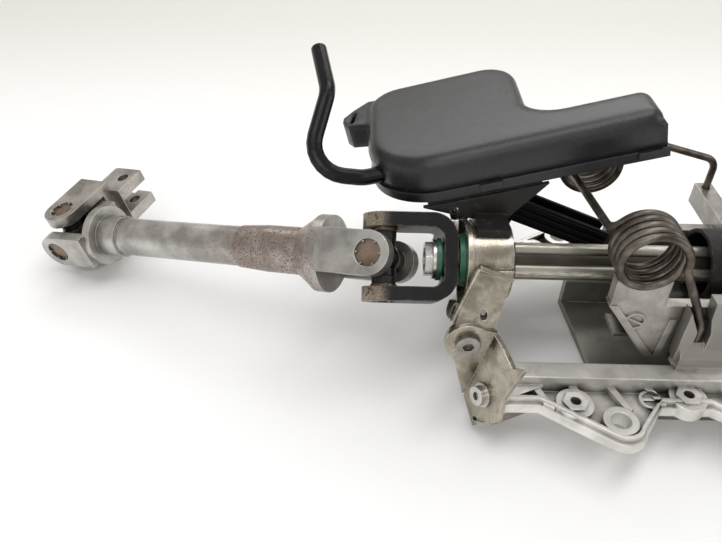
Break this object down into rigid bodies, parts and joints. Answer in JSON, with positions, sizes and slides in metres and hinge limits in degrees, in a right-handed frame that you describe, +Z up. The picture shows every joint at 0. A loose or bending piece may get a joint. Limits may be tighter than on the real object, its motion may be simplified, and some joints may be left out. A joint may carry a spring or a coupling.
{
  "type": "steering column",
  "caption": "Car steering column with tilt and reach, jointed telescopic intermediate shaft ending in a pinch yoke, balance spring, clamp lever and plastic guard on a cast console.",
  "frame": {"origin": "centre of the four console bolts in the plane of the ear faces", "axes": "+X along the column towards the steering wheel, +Z up with the column lying on its console, so the car's up is -Z and +Y is the car's left"},
  "size_m": [0.6601, 0.246, 0.1688],
  "materials": {
    "cast": "die cast, dull, scuffed",
    "zinc": "zinc plated sheet, yellowed",
    "bright_steel": "ground or plated",
    "forged_steel": "bare steel with light rust",
    "spring_steel": "dark oiled wire",
    "dark_steel": "dark phosphated",
    "black_paint": "black, worn at the edges",
    "black_plastic": "satin grained",
    "seal_green": "moulded",
    "rubber": "moulded"
  },
  "bodies": {
    "console": {"console": "cast", "pivot_bracket_right": "zinc", "pivot_bracket_left": "zinc", "bracket_screws": "bright_steel", "pivot_bolts": "forged_steel"},
    "column": {"swing_bracket": "zinc", "bearing_plate": "zinc", "dust_seal": "seal_green", "front_bearing_outer": "bright_steel", "front_bearing_balls": "bright_steel", "link_strap": "forged_steel", "guide_box": "cast", "balance_spring": "spring_steel", "guard_support": "dark_steel", "guard_tray": "black_plastic", "guard_cover": "black_plastic", "guard_bar": "black_paint", "cable_guide": "black_plastic", "guard_rivets": "forged_steel", "clamp_bolt": "forged_steel", "clamp_nut": "forged_steel", "fixed_cam": "bright_steel"},
    "lever": {"lever_cam": "bright_steel", "lever_arm": "dark_steel", "lever_grip": "black_plastic"},
    "jacket": {"jacket_tube": "dark_steel", "upper_bearing_outer": "bright_steel", "upper_bearing_balls": "bright_steel", "lock_housing": "cast", "lock_bolts": "forged_steel"},
    "wheel_end": {"wheel_shaft": "forged_steel", "upper_bearing_inner": "bright_steel"},
    "steer_shaft": {"column_shaft": "forged_steel", "column_yoke": "black_paint", "column_yoke_cups": "forged_steel", "yoke_nut": "bright_steel", "yoke_spacer": "seal_green", "front_bearing_inner": "bright_steel"},
    "upper_spider": {"upper_cross": "forged_steel", "upper_cross_seals": "rubber"},
    "upper_link": {"shaft_tube": "forged_steel", "shaft_tube_cups": "forged_steel"},
    "lower_link": {"inner_shaft": "forged_steel", "inner_shaft_cups": "forged_steel"},
    "lower_spider": {"lower_cross": "forged_steel", "lower_cross_seals": "rubber"},
    "pinch_end": {"pinch_yoke": "forged_steel", "pinch_yoke_cups": "forged_steel"}
  },
  "joints": [
    {"name": "tilt", "type": "hinge", "parent": "console", "child": "column", "pos_m": [-0.13, 0, 0.032], "axis": [0, 1, 0], "range_deg": [-2.5, 2.5], "deforming": ["balance_spring"]},
    {"name": "reach", "type": "slide", "parent": "column", "child": "jacket", "axis": [1, 0, 0], "range_m": [-0.022, 0.022]},
    {"name": "clamp_lever", "type": "hinge", "parent": "column", "child": "lever", "pos_m": [0.066, 0, 0.089], "axis": [0, -1, 0], "range_deg": [0, 55]},
    {"name": "steer", "type": "hinge", "parent": "column", "child": "steer_shaft", "pos_m": [0, 0, 0.052], "axis": [1, 0, 0], "continuous": true},
    {"name": "wheel_turn", "type": "hinge", "parent": "jacket", "child": "wheel_end", "pos_m": [0, 0, 0.052], "axis": [1, 0, 0], "continuous": true},
    {"name": "upper_swing", "type": "hinge", "parent": "steer_shaft", "child": "upper_spider", "pos_m": [-0.177, 0, 0.052], "axis": [0, 0.7071, 0.7071], "range_deg": [-1, 40]},
    {"name": "upper_bend", "type": "hinge", "parent": "upper_spider", "child": "upper_link", "pos_m": [-0.177, 0, 0.052], "axis": [-0.3971, -0.649, 0.649], "range_deg": [-3, 20]},
    {"name": "telescope", "type": "slide", "parent": "upper_link", "child": "lower_link", "axis": [-0.9126, 0.3544, -0.2041], "range_m": [-0.015, 0.015]},
    {"name": "lower_swing", "type": "hinge", "parent": "lower_link", "child": "lower_spider", "pos_m": [-0.40058, 0.08682, 0.002], "axis": [0.3321, 0.9334, 0.1359], "range_deg": [-5, 5]},
    {"name": "lower_fold", "type": "hinge", "parent": "lower_spider", "child": "pinch_end", "pos_m": [-0.40058, 0.08682, 0.002], "axis": [-0.2387, -0.0562, 0.9695], "range_deg": [0, 110]}
  ],
  "couplings": [
    {"joint": "wheel_turn", "follows": "steer", "ratio": 1}
  ]
}
